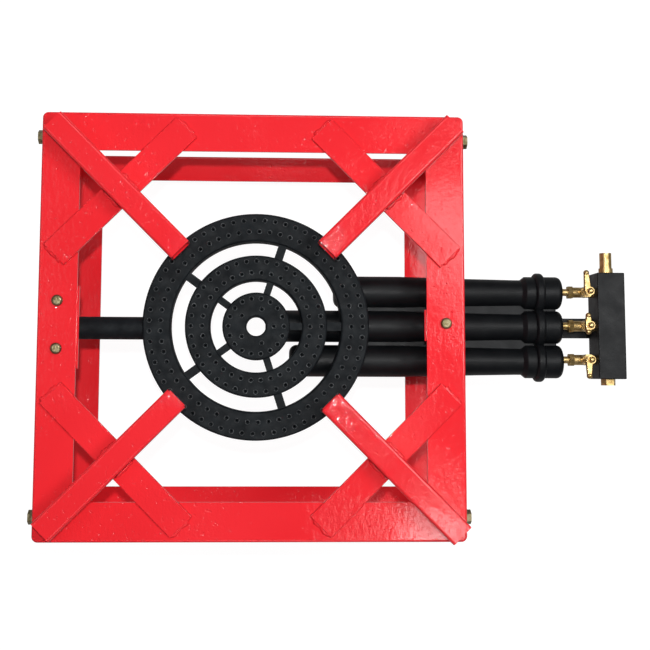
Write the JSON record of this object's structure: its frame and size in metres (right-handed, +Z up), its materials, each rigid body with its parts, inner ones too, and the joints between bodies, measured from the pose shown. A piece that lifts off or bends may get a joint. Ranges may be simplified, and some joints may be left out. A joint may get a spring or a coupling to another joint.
{
  "type": "propane burner stand",
  "caption": "Square bolted angle-iron stand with diagonal pot supports and a cast-iron ring burner hung inside, fed by valved mixer tubes from a gas manifold at the side.",
  "frame": {"origin": "on the floor, below the middle of the whole object's length and width", "axes": "+Z up, +X from the stand towards the manifold, +Y to the rear, where the gas inlet points"},
  "size_m": [0.6312, 0.44, 0.308],
  "materials": {
    "red_paint": "gloss powder coat",
    "zinc": "zinc plated",
    "yellow_zinc": "yellow zinc plated",
    "cast_iron": "rough black",
    "tube_black": "satin black",
    "brass": "machined"
  },
  "bodies": {
    "stand": {"top_rail_rear": "red_paint", "top_rail_left": "red_paint", "top_rail_front": "red_paint", "top_rail_right": "red_paint", "lower_rail_rear": "red_paint", "lower_rail_left": "red_paint", "lower_rail_front": "red_paint", "lower_rail_right": "red_paint", "leg_rear_right": "red_paint", "leg_rear_left": "red_paint", "leg_front_left": "red_paint", "leg_front_right": "red_paint", "corner_gusset_rear_right": "red_paint", "corner_gusset_rear_left": "red_paint", "corner_gusset_front_left": "red_paint", "corner_gusset_front_right": "red_paint", "pot_support_rear_right": "red_paint", "pot_support_rear_left": "red_paint", "pot_support_front_left": "red_paint", "pot_support_front_right": "red_paint", "burner_bolts": "zinc", "burner_nut": "zinc", "strap_screws": "zinc", "frame_bolts": "yellow_zinc", "frame_washers": "yellow_zinc", "frame_nuts": "yellow_zinc", "brace_bolts": "yellow_zinc", "brace_washers": "yellow_zinc", "brace_nuts": "yellow_zinc", "hanger_screws": "yellow_zinc", "hanger_nuts": "yellow_zinc", "burner_head": "cast_iron", "mixer_tubes": "tube_black", "manifold": "tube_black", "manifold_strap": "tube_black", "hanger_left": "red_paint", "hanger_right": "red_paint", "gas_inlet": "brass", "manifold_plug": "brass", "valve_rear": "brass", "gland_rear": "brass", "nozzle_rear": "brass", "valve_middle": "brass", "gland_middle": "brass", "nozzle_middle": "brass", "valve_front": "brass", "gland_front": "brass", "nozzle_front": "brass"},
    "handle_rear": {"stem_rear": "brass", "lever_rear": "brass", "lever_cap_rear": "brass"},
    "handle_middle": {"stem_middle": "brass", "lever_middle": "brass", "lever_cap_middle": "brass"},
    "handle_front": {"stem_front": "brass", "lever_front": "brass", "lever_cap_front": "brass"}
  },
  "joints": [
    {"name": "valve_rear_turn", "type": "hinge", "parent": "stand", "child": "handle_rear", "pos_m": [0.27525, 0.04, 0.234], "axis": [0, 0, 1], "range_deg": [-90, 0]},
    {"name": "valve_middle_turn", "type": "hinge", "parent": "stand", "child": "handle_middle", "pos_m": [0.27525, 0.003, 0.234], "axis": [0, 0, 1], "range_deg": [0, 90]},
    {"name": "valve_front_turn", "type": "hinge", "parent": "stand", "child": "handle_front", "pos_m": [0.27525, -0.034, 0.234], "axis": [0, 0, 1], "range_deg": [0, 90]}
  ]
}
